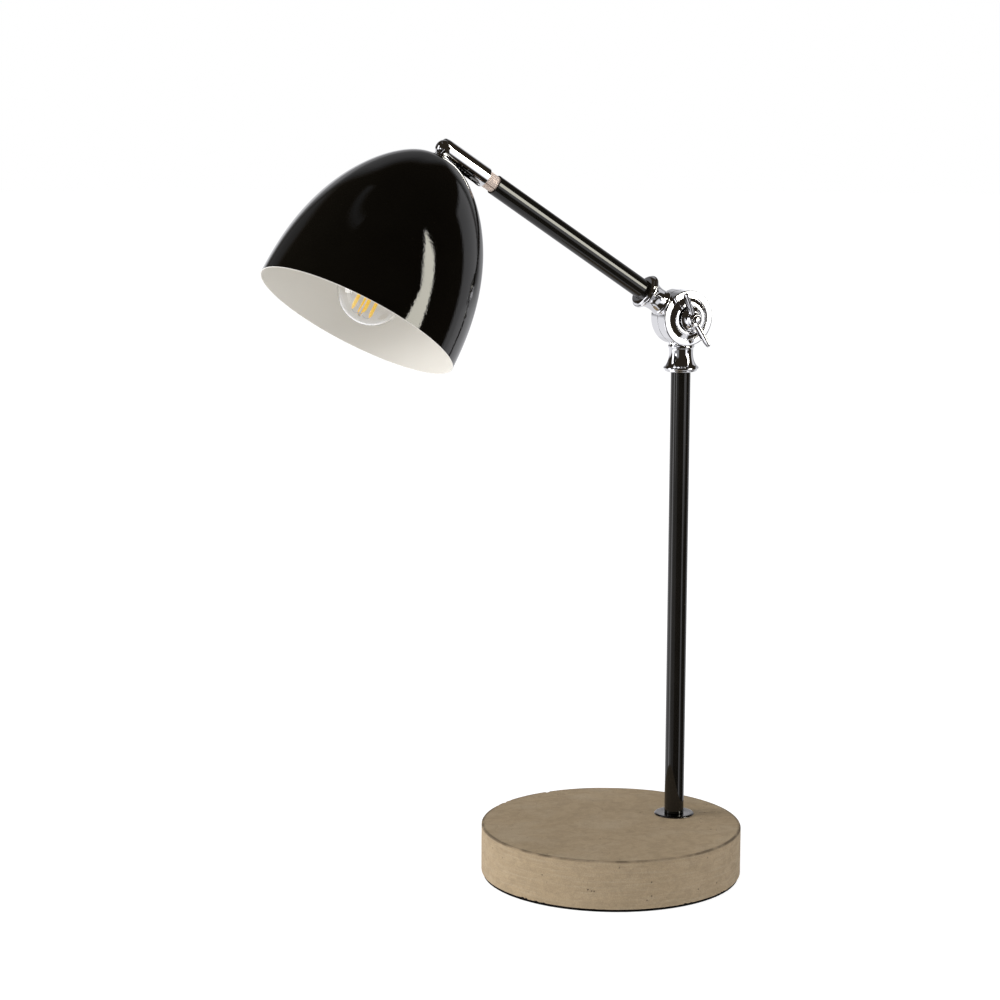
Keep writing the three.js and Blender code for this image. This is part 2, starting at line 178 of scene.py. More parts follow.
def rod(name, radius, low, high, segments=96):
    """A solid cylinder about Z."""
    corners = [(0, low), (radius, low), (radius, high), (0, high)]
    return turned(name, [Vector(corner) for corner in corners], segments)


def box(name, low, high):
    """A box between two opposite corners."""
    x, y, z = zip(low, high)
    corners = [(x[i], y[j], z[k]) for i in (0, 1) for j in (0, 1) for k in (0, 1)]
    sides = [(0, 1, 3, 2), (4, 6, 7, 5), (0, 4, 5, 1), (2, 3, 7, 6), (0, 2, 6, 4), (1, 5, 7, 3)]
    return new_object(name, corners, sides)


def turn(obj, degrees, axis):
    obj.data.transform(Matrix.Rotation(math.radians(degrees), 4, axis))
    return obj


def shift(obj, x=0, y=0, z=0):
    obj.data.transform(Matrix.Translation((x, y, z)))
    return obj


def combine(piece, tool, operation):
    """Joins tool to piece (UNION) or cuts it away (DIFFERENCE)."""
    modifier = piece.modifiers.new(operation, "BOOLEAN")
    modifier.object = tool
    modifier.operation = operation
    modifier.solver = "EXACT"
    made = piece.evaluated_get(bpy.context.evaluated_depsgraph_get())
    piece.data = bpy.data.meshes.new_from_object(made)
    piece.modifiers.clear()
    bpy.data.objects.remove(tool)
    clean(piece)
    return piece


def swept(name, points, radius):
    """A round wire along a list of points in mm, closed at both ends."""
    sides = 10
    vertices = []
    across = Vector((0.31, 0.77, 0.55))  # a direction that no wire runs in
    for i, point in enumerate(points):
        ahead = points[min(i + 1, len(points) - 1)] - points[max(i - 1, 0)]
        across = (across - ahead * across.dot(ahead) / ahead.length_squared).normalized()
        other = ahead.normalized().cross(across)
        for k in range(sides):
            angle = 2 * math.pi * k / sides
            vertices.append(point + (across * math.cos(angle) + other * math.sin(angle)) * radius)
    faces = [tuple(range(sides)), tuple(range(len(vertices) - 1, len(vertices) - sides - 1, -1))]
    for i in range(len(points) - 1):
        for k in range(sides):
            a, b = i * sides + k, i * sides + (k + 1) % sides
            faces.append((a, b, b + sides, a + sides))
    return new_object(name, vertices, faces)


def faces_axis(face):
    """Whether a face of a turned piece looks in towards its own Z axis."""
    return face.normal.x * face.center.x + face.normal.y * face.center.y < 0


def joined(name, objects):
    """Several separate solids as one piece."""
    mesh = bmesh.new()
    for obj in objects:
        mesh.from_mesh(obj.data)
        bpy.data.objects.remove(obj)
    whole = new_object(name, [], [])
    mesh.to_mesh(whole.data)
    mesh.free()
    return whole


def place(piece, at, body, nodes, slot, looks, bevel=0, sharp=32, second=None):
    """Puts a piece made in mm at its axes, hangs it on its body, and hides the CAD nodes it stands
    for.

    Edges sharper than sharp degrees stay sharp, or take a bevel in mm. Faces for which
    second(face) is true, in the piece's own axes, take the second look.
    """
    for face in piece.data.polygons if second else []:
        face.material_index = 1 if second(face) else 0
    piece.data.transform(at @ Matrix.Scale(MM, 4))
    piece.data.shade_smooth()
    piece.data.set_sharp_from_angle(angle=math.radians(sharp))
    if bevel:
        edge = piece.modifiers.new("edge", "BEVEL")
        edge.width = bevel * MM
        edge.segments = 3
        edge.limit_method = "ANGLE"
        edge.angle_limit = math.radians(sharp)
        edge.harden_normals = False
    normals = piece.modifiers.new("flat_faces", "WEIGHTED_NORMAL")
    normals.keep_sharp = True
    for look in looks if isinstance(looks, (list, tuple)) else [looks]:
        piece.data.materials.append(look)
    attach(piece, body)
    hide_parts(*nodes)
    return piece


# ---- Materials ----
class Look:
    """A node material: a principled shader, and the textures that feed it."""

    def __init__(self, name, shader):
        self.material = bpy.data.materials.new(name)
        self.material.use_nodes = True
        self.tree = self.material.node_tree
        self.shader = self.tree.nodes["Principled BSDF"]
        for socket, value in shader.items():
            self.shader.inputs[socket].default_value = value

    def node(self, kind, inputs, output=0, **settings):
        made = self.tree.nodes.new("ShaderNode" + kind)
        for key, value in settings.items():
            setattr(made, key, value)
        for key, value in inputs.items():
            if isinstance(value, bpy.types.NodeSocket):
                self.tree.links.new(value, made.inputs[key])
            else:
                made.inputs[key].default_value = value
        return made.outputs[output]

    def point(self, stretch=(1, 1, 1)):
        """Object coordinates, in metres, stretched along each axis."""
        coords = self.node("TexCoord", {}, "Object")
        return self.node("Mapping", {"Vector": coords, "Scale": stretch})

    def noise(self, scale, detail=3, stretch=(1, 1, 1), distortion=0):
        return self.node("TexNoise", {"Vector": self.point(stretch), "Scale": scale,
                                      "Detail": detail, "Distortion": distortion})

    def cells(self, scale):
        """Distance to the nearest of many scattered points."""
        return self.node("TexVoronoi", {"Vector": self.point(), "Scale": scale}, "Distance")

    def span(self, value, low, high, to_low=0.0, to_high=1.0):
        """value from low to high becomes to_low to to_high."""
        return self.node("MapRange", {"Value": value, "From Min": low, "From Max": high,
                                      "To Min": to_low, "To Max": to_high})

    def math(self, operation, a, b=0.0, c=0.0):
        return self.node("Math", {0: a, 1: b, 2: c}, operation=operation)

    def mix(self, factor, a, b):
        return self.node("Mix", {0: factor, 6: a, 7: b}, 2, data_type="RGBA")

    def bump(self, height, depth, normal=None):
        """A bump of depth metres."""
        inputs = {"Height": height, "Distance": depth, "Strength": 1.0}
        if normal:
            inputs["Normal"] = normal
        return self.node("Bump", inputs)

    def surface(self, tone, smear, grain):
        """Feeds a mottled colour, a patchy roughness and a fine relief, each from a noise.

        Each begins with the noise's scale and detail. Then tone has its two colours, smear its
        lowest and highest roughness, and grain its depth in metres.
        """
        colour = self.mix(self.noise(*tone[:2]), *tone[2:])
        roughness = self.span(self.noise(*smear[:2]), 0.3, 0.7, *smear[2:])
        relief = self.bump(self.noise(*grain[:2]), grain[2])
        return self.feed(Base_Color=colour, Roughness=roughness, Normal=relief)

    def feed(self, **sockets):
        """Links values to the shader, a space in a socket's name written as _."""
        for name, value in sockets.items():
            self.tree.links.new(value, self.shader.inputs[name.replace("_", " ")])
        return self.material


def rgb(red, green, blue):
    return (red, green, blue, 1)


def gloss_black():
    look = Look("gloss_black_enamel", {"Specular IOR Level": 0.5, "IOR": 1.5})
    tone = look.mix(look.noise(35), rgb(0.0016, 0.0013, 0.0008), rgb(0.0036, 0.0031, 0.0022))
    smear = look.span(look.noise(60, 5), 0.35, 0.75, 0.025, 0.055)
    peel = look.bump(look.noise(620, 3), 3.4e-5)
    dust = look.bump(look.span(look.cells(260), 0.02, 0.09, 1, 0), 2.5e-6, peel)
    return look.feed(Base_Color=tone, Roughness=smear, Normal=dust)


def tube_black():
    look = Look("tube_black_enamel", {"IOR": 1.5})
    tone = look.mix(look.noise(50), rgb(0.0056, 0.0049, 0.0039), rgb(0.0112, 0.0098, 0.0079))
    smear = look.span(look.noise(90, 5), 0.3, 0.75, 0.04, 0.075)
    peel = look.bump(look.noise(500, 2), 2e-6)
    return look.feed(Base_Color=tone, Roughness=smear, Normal=peel)


def warm_white():
    look = Look("warm_white_enamel", {"IOR": 1.5})
    return look.surface(tone=(22, 4, rgb(0.755, 0.732, 0.682), rgb(0.795, 0.772, 0.725)),
                        smear=(140, 4, 0.32, 0.46), grain=(1100, 3, 9e-6))


def chrome():
    look = Look("polished_chrome", {"Metallic": 1.0})
    tone = look.mix(look.noise(80), rgb(0.83, 0.83, 0.85), rgb(0.90, 0.90, 0.91))
    smear = look.span(look.noise(150, 6), 0.35, 0.75, 0.015, 0.055)
    ripple = look.bump(look.noise(260, 2), 4e-6)
    return look.feed(Base_Color=tone, Roughness=smear, Normal=ripple)


def dark_nickel():
    look = Look("dark_nickel_plate", {"Metallic": 1.0})
    return look.surface(tone=(200, 4, rgb(0.115, 0.110, 0.108), rgb(0.20, 0.192, 0.19)),
                        smear=(300, 5, 0.12, 0.26), grain=(700, 3, 6e-6))


def satin_nickel():
    look = Look("satin_nickel", {"Metallic": 1.0})
    return look.surface(tone=(260, 5, rgb(0.78, 0.72, 0.65), rgb(0.88, 0.83, 0.77)),
                        smear=(500, 4, 0.28, 0.40), grain=(1500, 2, 4e-6))


def blasted_nickel_painted_reflection():
    # A blasted nickel given as a nearly matte light beige: partly its own finish, partly painted
    # reflection, the brightness the metal would mirror put into its colour
    look = Look("blasted_nickel_painted_reflection", {"Metallic": 0.1, "Specular IOR Level": 0.3})
    return look.surface(tone=(300, 4, rgb(0.82, 0.66, 0.57), rgb(0.90, 0.74, 0.65)),
                        smear=(500, 4, 0.52, 0.62), grain=(1400, 3, 1.5e-6))


def zinc_steel():
    look = Look("zinc_plated_steel", {"Metallic": 1.0})
    return look.surface(tone=(180, 5, rgb(0.42, 0.43, 0.45), rgb(0.62, 0.62, 0.62)),
                        smear=(400, 5, 0.26, 0.46), grain=(1500, 3, 1.2e-5))


def brass():
    look = Look("turned_brass", {"Metallic": 1.0})
    return look.surface(tone=(150, 5, rgb(0.40, 0.27, 0.11), rgb(0.58, 0.42, 0.19)),
                        smear=(300, 5, 0.18, 0.36), grain=(1400, 2, 9e-6))


def rubber():
    look = Look("black_rubber", {})
    return look.surface(tone=(400, 4, rgb(0.012, 0.012, 0.013), rgb(0.030, 0.030, 0.031)),
                        smear=(250, 4, 0.55, 0.78), grain=(2600, 3, 3e-5))


def felt():
    look = Look("black_felt", {"Roughness": 0.95, "Specular IOR Level": 0.08})
    fibre = look.noise(2400, 6, (1, 1, 1), 2.5)
    tone = look.mix(fibre, rgb(0.001, 0.001, 0.001), rgb(0.008, 0.0075, 0.007))
    return look.feed(Base_Color=tone, Normal=look.bump(fibre, 2.5e-4))


def fibre():
    look = Look("pressed_fibre", {"Roughness": 0.8})
    fleck = look.noise(1300, 6, (1, 1, 1), 1.5)
    tone = look.mix(fleck, rgb(0.10, 0.028, 0.014), rgb(0.24, 0.085, 0.045))
    return look.feed(Base_Color=tone, Normal=look.bump(fleck, 5e-5))


def white_plastic():
    look = Look("white_moulded_plastic", {"IOR": 1.46})
    return look.surface(tone=(60, 3, rgb(0.74, 0.725, 0.68), rgb(0.80, 0.785, 0.745)),
                        smear=(200, 4, 0.30, 0.42), grain=(1600, 3, 1.2e-5))


def vitrite():
    look = Look("black_vitrite", {"IOR": 1.55})
    return look.surface(tone=(500, 3, rgb(0.008, 0.008, 0.012), rgb(0.022, 0.021, 0.026)),
                        smear=(700, 3, 0.10, 0.24), grain=(900, 3, 1e-5))


def clear_glass():
    look = Look("clear_glass", {"Base Color": rgb(1, 1, 1), "Roughness": 0.0, "IOR": 1.47,
                                "Transmission Weight": 1.0})
    return look.feed(Normal=look.bump(look.noise(90, 2), 1.2e-5))


def phosphor():
    # The phosphor's colour is also given as a faint painted glow, though the bulb isn't lit
    look = Look("yellow_phosphor_painted_glow", {"Roughness": 0.55, "Emission Strength": 0.35})
    beads = look.cells(900)
    tone = look.mix(look.span(beads, 0.1, 0.6), rgb(0.95, 0.44, 0.012), rgb(0.95, 0.62, 0.06))
    return look.feed(Base_Color=tone, Emission_Color=tone, Normal=look.bump(beads, 8e-5))


def painted_edge_shade(look, radius, top):
    """How much painted shade a disc takes: up to 1 along its rounded top edge, in patches, and 0
    elsewhere. Sizes in metres.
    """
    x, y, z = look.node("SeparateXYZ", {"Vector": look.point()}).node.outputs
    squares = look.math("ADD", look.math("MULTIPLY", x, x), look.math("MULTIPLY", y, y))
    rim = look.span(look.math("SQRT", squares), radius - 2.4 * MM, radius - 1.1 * MM)
    # Patchy strength of the painted shade along the edge, from 0.3 to 1
    shade_patches = look.span(look.noise(60, 6), 0.40, 0.56, 0.3, 1)
    upper = look.span(z, top - 1.6 * MM, top - 0.7 * MM)
    return look.math("MULTIPLY", look.math("MULTIPLY", rim, upper), shade_patches)


def concrete(radius, top):
    """Fine cast concrete: clouds, level streaks, sand, pale specks and open pores, and a line of
    painted shade along its top edge.
    """
    look = Look("cast_concrete", {"Specular IOR Level": 0.25})
    cloud = look.noise(9, 4, (1, 1, 1), 0.3)
    mottle = look.noise(150, 9, (1, 1, 1.6), 0.9)
    streak = look.noise(34, 8, (1, 1, 22), 0.2)
    sand = look.noise(1300, 5)
    speck = look.span(look.cells(360), 0.05, 0.14, 1, 0)
    pores = look.math("MULTIPLY", look.span(look.cells(210), 0.06, 0.15, 1, 0),
                      look.span(look.noise(60, 3), 0.50, 0.60))
    tone = look.mix(look.span(cloud, 0.3, 0.7), rgb(0.385, 0.292, 0.182), rgb(0.436, 0.334, 0.217))
    tone = look.mix(look.span(mottle, 0.40, 0.68, 0, 0.55), tone, rgb(0.285, 0.220, 0.145))
    tone = look.mix(look.span(streak, 0.48, 0.66, 0, 0.38), tone, rgb(0.47, 0.385, 0.275))
    tone = look.mix(look.span(sand, 0.35, 0.75, 0, 0.50), tone, rgb(0.21, 0.160, 0.105))
    tone = look.mix(look.math("MULTIPLY", speck, 0.3), tone, rgb(0.52, 0.44, 0.34))
    tone = look.mix(look.math("MULTIPLY", pores, 0.75), tone, rgb(0.09, 0.068, 0.048))
    # A dark line of painted shade along the rounded top edge
    line = painted_edge_shade(look, radius, top)
    tone = look.mix(look.math("MULTIPLY", line, 0.8), tone, rgb(0.11, 0.082, 0.055))
    smear = look.span(mottle, 0.3, 0.7, 0.78, 0.95)
    relief = look.bump(mottle, 1.4e-4)
    relief = look.bump(streak, 1.0e-4, relief)
    relief = look.bump(sand, 1.2e-4, relief)
    relief = look.bump(look.math("SUBTRACT", 1.0, pores), 5e-4, relief)
    return look.feed(Base_Color=tone, Roughness=smear, Normal=relief)


# ---- Base and pole ----
TOP_EDGE_SEED = 4.7
FOOT_EDGE_SEED = 11.3
CHIP_REACH = 2.6  # how far from an edge a chip goes
CHIP_DEPTH = 0.9  # into the side, at most
CHIP_DROP = 0.8  # into the top or the underside, at most
NUT_ROOM = 4  # round the washer in its pocket, for a spanner
TUBE_GAP = 0.3
OUTLET_R = 4.6
PIPE_WALL = 0.9


def chip(angle, seed):
    """How deep the concrete's edge is broken at an angle, from 0 to 1."""
    where = Vector((math.cos(angle), math.sin(angle), 0))
    patch = max(0.0, noise.noise(where * 3.1 + Vector((seed, 0, 0))) - 0.12)
    crumb = max(0.0, noise.noise(where * 34 + Vector((0, seed, 0))) - 0.05)
    return min(1.0, patch * crumb * 9)


def roughen_concrete(base, radius, low, high):
    """Moves the cast surface a little, and breaks small crumbs out of its two edges."""
    for vertex in base.data.vertices:
        p = vertex.co
        r = math.hypot(p.x, p.y)
        if r < radius * 0.5 and p.z < high - 1:
            continue
        angle = math.atan2(p.y, p.x)
        wave = noise.noise(p * 0.035) * 0.22 + noise.noise(p * 0.16) * 0.07
        inward = 0.0
        down = 0.0
        for edge_z, seed, sign in ((high, TOP_EDGE_SEED, 1), (low, FOOT_EDGE_SEED, -1)):
            near = max(0.0, 1 - (abs(edge_z - p.z) + radius - r) / CHIP_REACH)
            depth = chip(angle, seed) * near
            inward += depth * CHIP_DEPTH
            down += depth * CHIP_DROP * sign
        if r > radius - 3:
            sideways = inward + abs(wave) * 0.6
            p.x -= p.x / r * sideways
            p.y -= p.y / r * sideways
        if p.z > high - 2:
            p.z -= down + abs(wave) * 0.5
        elif p.z < low + 2:
            p.z -= down


def outlet_height():
    """Height of the cable outlet's middle, in metres."""
    low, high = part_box("cable_grommet")
    return (low.z + high.z) / 2


def concrete_base():
    """The cast disc, with the pole's hole, its nut's pocket, and the tunnel for the cable."""
    low, high, radius = extent("concrete_base", STAND)
    corners = [(0, low), (radius - 0.6, low, 0.5), (radius, low + 0.7, 0.5),
               (radius, high, 1.1), (0, high)]
    base = turned("base_casting", subdivided(rounded(corners), 2.4), 560)
    roughen_concrete(base, radius, low, high)
    pole_x = ELBOW.x / MM
    hole_r = extent("foot_threaded_tube", POLE)[2] + TUBE_GAP
    combine(base, shift(rod("hole", hole_r, low - 1, high + 1), pole_x), "DIFFERENCE")
    _, pocket_top, washer_r = extent("foot_washer", POLE)
    pocket = rod("pocket", washer_r + NUT_ROOM, low - 1, pocket_top)
    combine(base, shift(pocket, pole_x), "DIFFERENCE")
    tunnel = turn(rod("tunnel", OUTLET_R, pole_x + 10, radius + 3), 90, "Y")
    combine(base, shift(tunnel, 0, 0, outlet_height() / MM), "DIFFERENCE")
    look = concrete(radius * MM, high * MM)
    place(base, STAND, "stand", ["concrete_base"], "concrete", look, sharp=40)


def felt_pad():
    low, high, radius = extent("felt_pad", STAND)
    corners = [(0, low), (radius, low, 0.5), (radius, high, 0.5), (0, high)]
    pad = turned("felt_underlay", subdivided(rounded(corners), 4), 240)
    for vertex in pad.data.vertices:
        p = vertex.co
        if math.hypot(p.x, p.y) > radius - 1:
            fuzz = 1 - 0.003 * (noise.noise(p * 0.9) + 1) * 0.5
            p.x *= fuzz
            p.y *= fuzz
    place(pad, STAND, "stand", ["felt_pad"], "felt", felt())


def cable_grommet():
    at = along((0, 0, outlet_height()), (1, 0, 0), (0, 1, 0))
    inner, outer, flange_r = extent("cable_grommet", at)
    bore, neck = 3.3, 4.3
    seat = outer - 1.5
    corners = [(bore, inner, 0.3), (neck, inner, 0.3), (neck, seat), (flange_r, seat, 0.3),
               (flange_r, outer - 0.5, 0.7), (flange_r - 0.8, outer, 0.5), (bore, outer, 0.5)]
    grommet = turned("outlet_grommet", rounded(corners), 72)
    place(grommet, at, "stand", ["cable_grommet"], "rubber", rubber())


def foot_plate():
    low, high, radius = extent("foot_plate", POLE)
    hole, step = 5.2, 0.12
    corners = [(hole, low), (radius - 0.3, low, 0.2), (radius, low + 0.5, 0.3),
               (radius - 0.9, high, 0.6), (9, high), (8.6, high - step), (hole, high - step)]
    plate = turned("foot_rose", rounded(corners), 144)
    place(plate, POLE, "stand", ["foot_plate"], "dark_nickel", dark_nickel())


def tube(name, node, at, body):
    """An enamelled pipe with softened ends."""
    low, high, radius = extent(node, at)
    bore = radius - PIPE_WALL
    corners = [(bore, low, 0.15), (radius, low, 0.3), (radius, high, 0.3), (bore, high, 0.15)]
    pipe = turned(name, subdivided(rounded(corners), 12), 96)
    place(pipe, at, body, [node], "black_enamel", tube_black())


# ---- Elbow ----
DRUM_R = 19
DRUM_HALF = 10.1
BOSS_R = 11.3
BOSS_HEIGHT = 0.9
DISH_R = 14.9
DISH_DEPTH = 1.65  # from the boss's face to the lowest point of the ring round it
SPLIT_GAP = 0.15
DISC_R = 8.2  # recess for the friction disc, in each half's inner face
DISC_RECESS = 0.5
BOLT_HOLE_R = 3.2
WIREWAY_R = 4.5
SOCKET_R = 6.9  # takes the tube's end
SOCKET_DEPTH = 9
NECK_END = 37.3
NECK = [  # radius, distance from the pivot, softening
    (0, 12.4), (8.6, 12.4), (8.6, 18.7, 0.4), (9.1, 19.2, 0.5), (9.1, 20.3, 0.6), (8.4, 21.2, 0.8),
    (8.15, 25.4, 2.0), (8.9, 29.4, 2.0), (10.4, 32.4, 1.2), (12.2, 33.9, 0.6), (12.2, 35.1, 0.5),
    (11.3, 35.4, 0.3), (11.2, 36.5, 0.9), (9.4, NECK_END, 0.9), (0, NECK_END),
]


def knuckle(name, side):
    """One half of the elbow: half a drum and its neck along +Z. side is 1 at the back, -1 in front."""
    tilt = -90 * side
    recess, face = SPLIT_GAP + DISC_RECESS, DRUM_HALF - BOSS_HEIGHT
    half = [(BOLT_HOLE_R, recess), (DISC_R, recess), (DISC_R, SPLIT_GAP),
            (DRUM_R, SPLIT_GAP, 0.25), (DRUM_R, face, 1.0), (DISH_R, face, 0.15),
            (DISH_R - 0.4, DRUM_HALF - DISH_DEPTH, 0.2), (BOSS_R, DRUM_HALF, 0.2),
            (BOLT_HOLE_R, DRUM_HALF)]
    drum = turn(turned(name, rounded(half), 160), tilt, "X")
    neck = turned("neck", rounded(NECK), 128)
    other = turn(rod("other", DRUM_R + 0.4, -SPLIT_GAP, DRUM_HALF + 4, 160), -tilt, "X")
    combine(neck, other, "DIFFERENCE")
    combine(drum, neck, "UNION")
    bolt_hole = rod("bolt_hole", BOLT_HOLE_R, -1, DRUM_HALF + 2)
    combine(drum, turn(bolt_hole, tilt, "X"), "DIFFERENCE")
    combine(drum, rod("wireway", WIREWAY_R, 10.5, NECK_END + 1), "DIFFERENCE")
    combine(drum, rod("socket", SOCKET_R, NECK_END - SOCKET_DEPTH, NECK_END + 1), "DIFFERENCE")
    return drum


def elbow_castings():
    look = chrome()
    for name, side, at, body, node in (
        ("elbow_lower_casting", 1, POLE_NECK, "stand", "pole_knuckle"),
        ("elbow_upper_casting", -1, ARM, "arm", "arm_knuckle"),
    ):
        place(knuckle(name, side), at, body, [node], "chrome", look, bevel=0.12)


def thrust_washer():
    low, high, radius = extent("thrust_washer", NUT)
    floor = high - 0.5
    corners = [(BOLT_HOLE_R, low), (radius, low, 0.2), (radius, high, 0.4), (9.3, high, 0.2),
               (8.7, floor, 0.2), (BOLT_HOLE_R, floor)]
    washer = turned("elbow_thrust_washer", rounded(corners), 128)
    place(washer, NUT, "stand", ["thrust_washer"], "chrome", chrome())


def pivot_bolt():
    """A round head with a hexagon socket behind, and a thread with a domed tip in front."""
    low, high, head_r = extent("pivot_bolt", NUT)
    seat = -DRUM_HALF
    dome = [(0, low), (head_r * 0.45, low + 0.25, 1.0), (head_r * 0.85, low + 1.8, 1.2),
            (head_r, seat - 0.5, 0.5), (head_r, seat, 0.2)]
    radius, root = 3.0, 2.65
    thread_start, thread_end, pitch = 7.0, high - 1.2, 0.75
    shank = [(radius, seat), (radius, thread_start - 0.4)]
    thread = []
    for i in range(int((thread_end - thread_start) / pitch)):
        z = thread_start + i * pitch
        thread += [(root, z), (radius, z + pitch / 2)]
    tip = [(root, thread_end), (radius - 0.6, high - 0.6, 0.5), (radius * 0.5, high, 1.0),
           (0, high)]
    bolt = turned("elbow_bolt", rounded(dome + shank + thread + tip), 96)
    socket = rod("socket", 2.3, low - 1, low + 1.8, 6)
    combine(bolt, socket, "DIFFERENCE")
    place(bolt, NUT, "stand", ["pivot_bolt"], "chrome", chrome(), bevel=0.08)


def bezier(points, t):
    """A point on a chain of quadratic curves that share their end points."""
    pieces = (len(points) - 1) // 2
    index = min(int(t * pieces), pieces - 1)
    s = t * pieces - index
    a, b, c = (Vector(p) for p in points[2 * index:2 * index + 3])
    return a * (1 - s) ** 2 + b * 2 * s * (1 - s) + c * s * s


WING_LOWER = [(3.4, 0.8), (12.4, 1.0), (18.7, 4.0), (21.2, 5.9), (20.85, 8.2)]
WING_UPPER = [(3.4, 6.4), (10.1, 8.6), (18.5, 9.7), (20.4, 9.8), (20.85, 8.2)]
WING_HALF = 1.8  # half the blade's thickness at the hub
WING_THINNING = 0.55
WING_TIP = 0.8  # where along the blade its rounded tip begins
WING_ANGLE = 117
NUT_BORE_R = 3.1


def wing(name):
    """One blade: rings between its lower and upper edges, from the hub out to the tip."""
    steps, sides = 36, 28
    vertices = []
    for i in range(steps + 1):
        t = i / steps
        lower, upper = bezier(WING_LOWER, t), bezier(WING_UPPER, t)
        middle, reach = (lower + upper) / 2, (upper - lower) / 2
        into_tip = max(0.0, t - WING_TIP) / (1 - WING_TIP)
        thick = (WING_HALF - WING_THINNING * min(1, t * 1.4)) * math.sqrt(1 - into_tip ** 2)
        for k in range(sides):
            angle = 2 * math.pi * k / sides
            spot = middle + reach * math.cos(angle)
            swell = math.copysign(abs(math.sin(angle)) ** 0.75, math.sin(angle))
            vertices.append((spot.x, thick * swell, spot.y))
    faces = [tuple(range(sides))]
    for i in range(steps):
        for k in range(sides):
            a, b = i * sides + k, i * sides + (k + 1) % sides
            faces.append((a, b, b + sides, a + sides))
    return new_object(name, vertices, faces)


def wing_nut():
    low, _, _ = extent("wing_nut", NUT)
    foot_r, hub_top = 8.4, 7.7
    corners = [(NUT_BORE_R, 0), (foot_r, 0, 0.3), (foot_r, 1.0, 0.4), (6.9, 1.7, 0.7),
               (5.6, 3.4, 1.2), (4.8, 6.4, 0.7), (3.5, hub_top, 0.3), (NUT_BORE_R, hub_top - 0.2)]
    hub = turned("wing_nut_forging", rounded(corners), 96)
    for turn_by in (0, 180):
        combine(hub, turn(wing("blade"), turn_by, "Z"), "UNION")
    combine(hub, rod("bore", NUT_BORE_R, -1, 12), "DIFFERENCE")
    turn(shift(hub, 0, 0, low), WING_ANGLE - 90, "Z")
    place(hub, NUT, "nut", ["wing_nut"], "chrome", chrome(), bevel=0.1)


# ---- Arm and swivel ----
SLIT_ANGLE = 52  # degrees from the underside of the arm towards the front
SLIT_HALF = 0.85
SLIT_NARROWS = 0.4  # the slit's width near the mouth, as a share of its width at the arm
RIB_PITCH = 0.7
RIB_DEPTH = 0.04


def swivel_collar():
    """The ribbed collar between the arm tube and the sleeve, with a slit along its side."""
    low, high, radius = extent("swivel_collar", ARM)
    _, tube_end, _ = extent("arm_tube", ARM)
    seen_low = tube_end + 0.3
    seen_high = extent("swivel_sleeve", ARM)[0] + 0.5
    ribs = []
    for i in range(int((seen_high - seen_low - 0.5) / RIB_PITCH)):
        z = seen_low + 0.35 + i * RIB_PITCH
        crest = [(radius, z + RIB_PITCH * 0.35), (radius, z + RIB_PITCH * 0.65)]
        ribs += [(radius - RIB_DEPTH, z), *crest]
    bore, spigot = 3.6, 5.4
    corners = [(bore, low), (spigot, low, 0.2), (spigot, seen_low),
               (radius - 0.1, seen_low, 0.1), *ribs, (radius - 0.2, seen_high),
               (radius - 0.2, high), (bore, high)]
    collar = turned("collar_ribbed", rounded(corners, 3), 120)
    half = 0.3
    slit = box("slit", (-8, -half, seen_low + 0.4), (-4.6, half, high + 1))
    combine(collar, turn(slit, SLIT_ANGLE, "Z"), "DIFFERENCE")
    place(collar, ARM, "arm", ["swivel_collar"], "brushed_nickel",
          [blasted_nickel_painted_reflection(), dark_nickel()], second=lambda face: face.center.z > seen_high + 0.4)


def swivel_sleeve():
    """The tube round the ball: a wide slot for the stem, and a narrow slit that lets it clamp."""
    low, high, radius = extent("swivel_sleeve", HEAD)
    bore, slot_half = 6.3, 3.7
    corners = [(bore, low, 0.15), (radius, low, 0.45), (radius, -0.8, 0.8), (6.75, 1.3, 0.6),
               (6.35, high, 0.35), (5.7, high, 0.2), (6.0, 1.5, 0.4), (bore, 0, 0.3)]
    sleeve = turned("sleeve_slotted", rounded(corners), 144)
    slot_end = low + 1 + slot_half
    slot = box("slot", (-9, -slot_half, slot_end), (-1, slot_half, high + 9))
    combine(sleeve, slot, "DIFFERENCE")
    end = turn(rod("slot_end", slot_half, 1, 9), -90, "Y")
    combine(sleeve, shift(end, 0, 0, slot_end), "DIFFERENCE")
    slit = box("slit", (-9, -SLIT_HALF, low + 2), (-5, SLIT_HALF, -4))
    for vertex in slit.data.vertices:
        if vertex.co.z > low + 3:
            vertex.co.y *= SLIT_NARROWS
    combine(sleeve, turn(slit, SLIT_ANGLE, "Z"), "DIFFERENCE")
    place(sleeve, HEAD, "head", ["swivel_sleeve"], "chrome", [chrome(), dark_nickel()],
          second=faces_axis)


def swivel_ball():
    """The ball, bored through for the wires, and its stem."""
    _, high, radius = extent("swivel_ball", SHADE)
    stem_r, bore_r = 3.4, 2.0
    first, last = math.asin(bore_r / radius), math.pi - math.asin(stem_r / radius)
    steps = 40
    outline = []
    for i in range(steps + 1):
        angle = first + (last - first) * i / steps
        outline.append(Vector((radius * math.sin(angle), -radius * math.cos(angle))))
    outline += rounded([(stem_r, high, 0.4), (bore_r, high)])
    ball = turned("ball_and_stem", outline, 128)
    place(ball, SHADE, "ball", ["swivel_ball"], "chrome", chrome())


# ---- Shade and lampholder ----
CROWN_FLAT_R = 13
CURVE_IN = 2.29  # on the dome, depth's share ** CURVE_IN + radius's share ** CURVE_OUT = 1
CURVE_OUT = 1.39
SHADE_STEPS = 56
SHADE_WALL = 0.8
STEM_HOLE_R = 3.55


